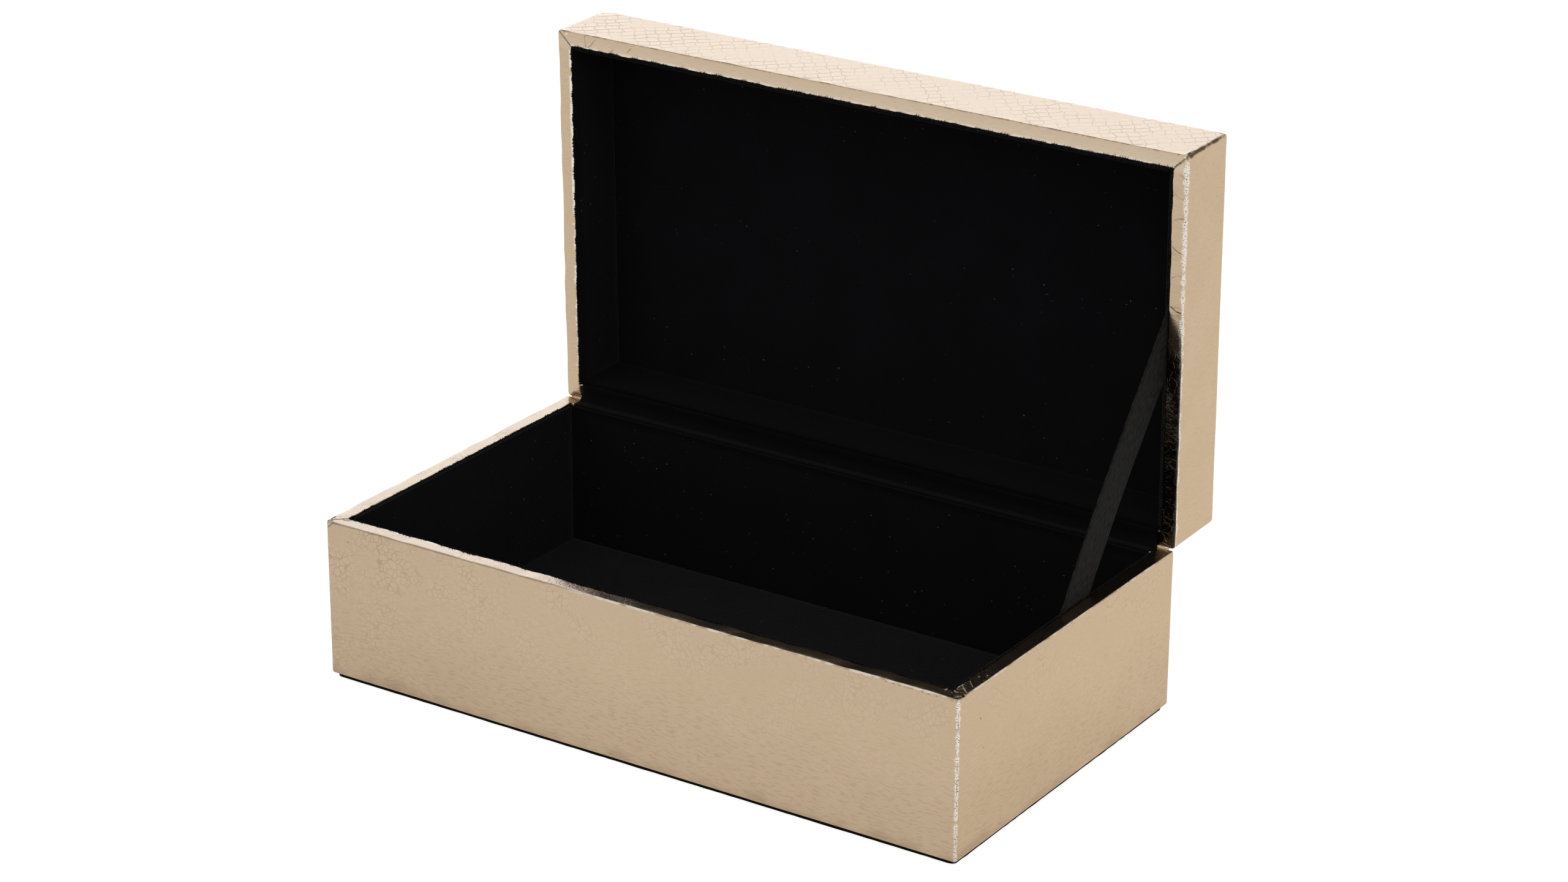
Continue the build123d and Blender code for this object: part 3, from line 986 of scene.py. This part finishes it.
for half, pad in (("base", "floor"), ("lid", "top")):
    for place in ("front", "rear", "left", "right", pad):
        lining_panel(half, place)

# %% [markdown]
# ## Pile at the mouth
#
# Where the velvet is wrapped over the edge of its card, the pile sticks up past the mouth and
# breaks the line of the rim. Tufts are small cones with few sides, leaned at random over the rim.

# %% Tufts of pile
def join_forms(forms):
    """One bmesh of many."""
    whole = bmesh.new()
    for form in forms:
        mesh = bpy.data.meshes.new("part")
        form.to_mesh(mesh)
        form.free()
        whole.from_mesh(mesh)
        bpy.data.meshes.remove(mesh)
    return whole


def tufts_along(draw, start, end, out, count, length):
    """Leaning tufts from start to end, in handfuls; out points from the velvet over the rim."""
    line = end - start
    handful = bmesh.new()
    for i in range(count):
        share = (i + draw.random()) / count
        thick = noise.noise(Vector((share * line.length * 260, start.x * 9, start.z * 9))) + 0.2 * share
        size = length * (0.8 + 0.8 * draw.random()) * (0.5 + 1.7 * min(0.4, max(0.0, thick + 0.2))) * MM
        lean = out * draw.uniform(0.3, 1.5) + line.normalized() * draw.uniform(-0.5, 0.5)
        foot = start + line * share - out * draw.uniform(0.0, 0.5) * MM
        turn = Vector((0, 0, 1)).rotation_difference((lean - Vector((0, 0, 1))).normalized())
        middle = Matrix.Translation((0, 0, size / 2))
        bmesh.ops.create_cone(
            handful, cap_ends=True, segments=4, depth=size,
            radius1=draw.uniform(0.22, 0.38) * MM, radius2=0.03 * MM,
            matrix=Matrix.Translation(foot) @ turn.to_matrix().to_4x4() @ middle,
        )
        if i % 40 == 39 or i == count - 1:
            yield handful
            handful = bmesh.new()


def pile_fringe(half):
    """The tufts round one mouth, as one piece."""
    draw = random.Random(f"pile {half}")
    top = own_box(f"{half}_front_lining", half)[0].z - 0.3 * MM
    x, front, rear = MOUTH_X - 0.1 * MM, -WIDTH + RIM_WIDTH + 0.1 * MM, -RIM_WIDTH
    runs = (
        ((-x, front, top), (x, front, top), (0, -1, 0), 2000, 1.0 if half == "lid" else 0.6),
        ((-x, front, top), (-x, rear, top), (-1, 0, 0), 1000, 0.75),
        ((x, front, top), (x, rear, top), (1, 0, 0), 1000, 0.6),
    )
    form = join_forms(
        handful for start, end, out, count, length in runs
        for handful in tufts_along(draw, Vector(start), Vector(end), Vector(out), count, length)
    )
    bmesh.ops.transform(form, matrix=PLACE[half], verts=form.verts)
    piece = finish_piece(form, f"{half}_pile_fringe", velvet)
    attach(piece, half)
    return piece


fringes = {half: pile_fringe(half) for half in PLACE}

# %% [markdown]
# ## Felt under the base
#
# A sheet of pressed felt, a little smaller than the box, with rounded corners.

# %% Felt
FELT_CORNER = 2.5 * MM
FELT_ROUND = 0.35 * MM
low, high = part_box("base_felt")
form = block(low, high)
upright = [e for e in form.edges if abs(e.verts[0].co.z - e.verts[1].co.z) > MM]
round_edges(form, upright, FELT_CORNER, 5)
level = [e for e in form.edges if abs(e.verts[0].co.z - e.verts[1].co.z) < 0.1 * MM]
rims = [e for e in level if len(e.link_faces) == 2 and e.calc_face_angle(0) > 1.0]
round_edges(form, rims, FELT_ROUND, 2)
for axis in range(2):
    slice_mesh(form, axis, 3 * MM)
form.normal_update()
for v in form.verts:
    side = Vector((v.normal.x, v.normal.y, 0))
    v.co += side * noise.noise(v.co * 420) * 0.3 * MM
felt_sheet = finish_piece(form, "base_felt_sheet", felt)
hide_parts("base_felt")
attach(felt_sheet, "base")

# %% [markdown]
# ## Ribbon
#
# A woven ribbon is tucked behind the right linings and stops the lid. A grid is laid along the
# straight line between its two ends. Its free part is bowed inwards, so that it clears the linings
# when the lid comes down and it folds into the box.

# %% Ribbon
RIBBON_WIDTH = 18.4 * MM
RIBBON_THICKNESS = 0.4 * MM
BASE_REACH, LID_REACH = 68.2 * MM, 87 * MM
BASE_TUCK, LID_TUCK = 18 * MM, 24 * MM
ribbon_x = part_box("lid_stay_ribbon")[1].x
ribbon_start = PLACE["base"] @ Vector((0, -BASE_REACH, 0))
ribbon_end = PLACE["lid"] @ Vector((0, -LID_REACH, 0))
run = ribbon_end - ribbon_start
free = run.length
ribbon_length = BASE_TUCK + free + LID_TUCK
form = bmesh.new()
bmesh.ops.create_grid(form, x_segments=200, y_segments=26, size=0.5)
layer = form.loops.layers.uv.new("sheet")
for face in form.faces:
    for loop in face.loops:
        p = loop.vert.co
        loop[layer].uv = ((p.x + 0.5) * ribbon_length, p.y * RIBBON_WIDTH)
across = Vector((1, 0, 0)).cross(run.normalized())


for v in form.verts:
    s = (v.co.x + 0.5) * ribbon_length - BASE_TUCK
    t = v.co.y * RIBBON_WIDTH
    bow = math.sin(math.pi * max(0.0, min(1.0, s / free)) ** 0.75)
    inward = (0.7 + 0.2 * noise.noise(Vector((s * 60, t * 60, 0)))) * bow * MM
    sideways = t + 0.4 * bow * MM
    v.co = ribbon_start + run.normalized() * s + across * sideways + Vector((ribbon_x - inward, 0, 0))
ribbon = finish_piece(form, "lid_ribbon_woven", ribbon_cloth)
thicken(ribbon, RIBBON_THICKNESS)
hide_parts("lid_stay_ribbon")
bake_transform(ribbon, "base", "lid", start=ribbon_start, end=ribbon_end)
print(f"ribbon: {free / MM:.1f} mm free, {ribbon_length / MM:.1f} mm in all")

# %% [markdown]
# ## Hinge strips
#
# Two strips join the halves: velvet over both rear rims inside, leatherette over the back outside.
# Each is a grid bent along its own section, so both halves of it lie on the boards and only the
# line in the middle turns with the lid.

# %% Hinge strips
STRIP_THICKNESS = 0.7 * MM
BOARD_FACE = COVERING + 5 * MM
RIM = COVER["base"][0].z


def section(half, y, z):
    """A point of a half's section, in the shared frame."""
    return PLACE[half] @ Vector((0, y, z))


def strip_piece(name, profile, half_x, x_cuts, y_cuts, material, sag):
    """A grid laid along a section, as wide as twice half_x; it wanders off it by the sag."""
    lengths = [0.0]
    for a, b in zip(profile, profile[1:]):
        lengths.append(lengths[-1] + (b - a).length)

    def at(s):
        for i in range(len(profile) - 1):
            if s <= lengths[i + 1] or i == len(profile) - 2:
                share = (s - lengths[i]) / (lengths[i + 1] - lengths[i])
                return profile[i].lerp(profile[i + 1], min(1.0, share))

    def soft(s):
        spread = 0.5 * MM
        points = [at(max(0.0, min(lengths[-1], s + k * spread / 2))) for k in (-2, -1, 0, 1, 2)]
        return sum(points, Vector((0, 0, 0))) / 5

    form = bmesh.new()
    bmesh.ops.create_grid(form, x_segments=x_cuts, y_segments=y_cuts, size=0.5)
    nap_and_painted_shade = form.verts.layers.float.new("painted_velvet_shade")
    layer = form.loops.layers.uv.new("sheet")
    for face in form.faces:
        for loop in face.loops:
            p = loop.vert.co
            loop[layer].uv = (p.x * 2 * half_x, (p.y + 0.5) * lengths[-1])
    for v in form.verts:
        s = (v.co.y + 0.5) * lengths[-1]
        place = soft(s)
        ahead, behind = soft(min(s + 0.2 * MM, lengths[-1])), soft(max(s - 0.2 * MM, 0))
        normal = Vector((1, 0, 0)).cross(ahead - behind).normalized()
        x = v.co.x * 2 * half_x
        # Painted shade: the inner velvet strip is painted blacker, with less sheen
        v[nap_and_painted_shade] = 0.8
        v.co = place + Vector((x, 0, 0)) + normal * sag * noise.noise(Vector((x * 90, s * 200, 0)))
    piece = finish_piece(form, name, material)
    thicken(piece, STRIP_THICKNESS)
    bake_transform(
        piece, "base", "lid",
        start=HINGE - Vector((0, 1, 1)).normalized() * 0.4 * MM,
        end=HINGE + Vector((0, 1, 1)).normalized() * 0.4 * MM,
    )
    return piece, lengths[-1]


inner_profile = [
    section("base", -BOARD_FACE - COVERING, RIM + TURN_IN),
    section("base", -BOARD_FACE - COVERING, RIM),
    section("base", -2.2 * MM, RIM),
    section("lid", -2.2 * MM, RIM),
    section("lid", -BOARD_FACE - COVERING, RIM),
    section("lid", -BOARD_FACE - COVERING, RIM + TURN_IN),
]
inner_strip, inner_length = strip_piece(
    "inner_hinge_velvet", inner_profile, STRIP_X, 230, 60, velvet, sag=0.12 * MM,
)
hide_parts("inner_hinge_strip")

outer_profile = [
    section("lid", 0, OUTER_LEG), section("lid", 0, RIM),
    section("base", 0, RIM), section("base", 0, OUTER_LEG),
]
outer_strip, outer_length = strip_piece(
    "outer_hinge_leatherette", outer_profile, LENGTH / 2 - STRIP_INSET, 150, 40, leatherette, sag=0.0,
)
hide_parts("outer_hinge_strip")
print(f"strips: inner {inner_length / MM:.1f}, outer {outer_length / MM:.1f} mm wide")

# %% [markdown]

# %% [markdown]
# ## Floor, light and camera
#
# The box stands on a white table under soft studio light. The floor is partly lit and partly
# glowing, so that it shows white and still takes the shadow under the box. Large lamps stand
# behind on the left and overhead: the rims and the top of the lid reflect them.

# %% Floor
FLOOR_GLOW_SEEN = 0.84
FLOOR_GLOW_MIRRORED = 0.76
floor_paint, tree, shader = new_material("matt_white_table")
shader.inputs["Base Color"].default_value = linear("#bcbcbc")
shader.inputs["Roughness"].default_value = 0.9
shader.inputs["Specular IOR Level"].default_value = 0.0
rays = add_node(tree, "LightPath")
seen = add_node(
    tree, "Math", LARGER,
    in0=rays.outputs["Is Camera Ray"], in1=rays.outputs["Is Transmission Ray"],
)
mirrored = add_node(tree, "Math", TIMES, in0=rays.outputs["Is Glossy Ray"], in1=FLOOR_GLOW_MIRRORED)
glow = add_node(tree, "Math", TIMES_PLUS, in0=seen, in1=FLOOR_GLOW_SEEN, in2=mirrored)
glow = add_node(tree, "Emission", Color=(1, 1, 1, 1), Strength=glow)
lit = add_node(tree, "AddShader", in0=shader, in1=glow)
tree.links.new(lit.outputs[0], tree.nodes["Material Output"].inputs["Surface"])

form = bmesh.new()
bmesh.ops.create_grid(form, x_segments=2, y_segments=2, size=6)
bmesh.ops.translate(form, vec=(0, 0, -0.02 * MM), verts=form.verts)
floor = finish_piece(form, "floor", floor_paint)

# %% World and lamps
world = bpy.data.worlds.new("white_studio")
bpy.context.scene.world = world
world.use_nodes = True
tree = world.node_tree
background = tree.nodes["Background"]
direction = add_node(tree, "TexCoord").outputs["Generated"]
upward = add_node(tree, "SeparateXYZ", Vector=direction).outputs["Z"]
wall_or_ceiling = add_node(
    tree, "MapRange", SMOOTH,
    Value=upward, From_Min=0.12, From_Max=0.42, To_Min=1.0, To_Max=0.72,
)
rays = add_node(tree, "LightPath")
lamp_light = add_node(
    tree, "Mix", {"data_type": "FLOAT"}, in0=rays.outputs["Is Glossy Ray"], in2=0.45, in3=wall_or_ceiling,
)
seen = add_node(
    tree, "Math", LARGER,
    in0=rays.outputs["Is Camera Ray"], in1=rays.outputs["Is Transmission Ray"],
)
strength = add_node(tree, "Mix", {"data_type": "FLOAT"}, in0=seen, in2=lamp_light, in3=1.0)
background.inputs["Color"].default_value = (1, 1, 1, 1)
tree.links.new(strength.outputs[0], background.inputs["Strength"])


def softbox(name, place, target, width, height, radiance, colour="#ffffff"):
    """A rectangular lamp whose surface is that many times as bright as white."""
    lamp = bpy.data.lights.new(name, "AREA")
    lamp.shape = "RECTANGLE"
    lamp.size, lamp.size_y = width, height
    lamp.energy = radiance * math.pi * width * height
    lamp.color = linear(colour)[:3]
    holder = bpy.data.objects.new(name, lamp)
    bpy.context.scene.collection.objects.link(holder)
    holder.location = place
    holder.rotation_euler = (Vector(place) - Vector(target)).to_track_quat("Z", "Y").to_euler()
    holder.visible_camera = False
    return holder


softbox("back_softbox", (-1.15, 1.8, 0.95), (0, 0, 0.1), 2.2, 1.3, 1.5, "#bfd5ff")
softbox("top_softbox", (0.5, -0.3, 2.2), (0, 0, 0.1), 2.0, 1.6, 0.9)

# %% [markdown]
# The camera stands where the photograph was taken from: its place and angles were fitted to the
# corners of the box, and its lens is long, about 97 mm on a 36 mm sensor.

# %% Camera
AZIMUTH, ELEVATION, ROLL = math.radians(33.21), math.radians(22.19), math.radians(0.363)
camera_data = bpy.data.cameras.new("camera")
camera_data.lens, camera_data.sensor_width = 96.92, 36
camera = bpy.data.objects.new("camera", camera_data)
bpy.context.scene.collection.objects.link(camera)
camera.location = (0.8669, -1.2977, 0.7475)
back = Vector((
    math.sin(AZIMUTH) * math.cos(ELEVATION), -math.cos(AZIMUTH) * math.cos(ELEVATION), math.sin(ELEVATION)
))
turn = back.to_track_quat("Z", "Y").to_matrix() @ Matrix.Rotation(ROLL, 3, "Z")
camera.rotation_euler = turn.to_euler()
bpy.context.scene.camera = camera
print("camera axes", [[round(c, 4) for c in turn.col[i]] for i in range(3)])
bpy.context.scene.view_settings.view_transform = "Standard"
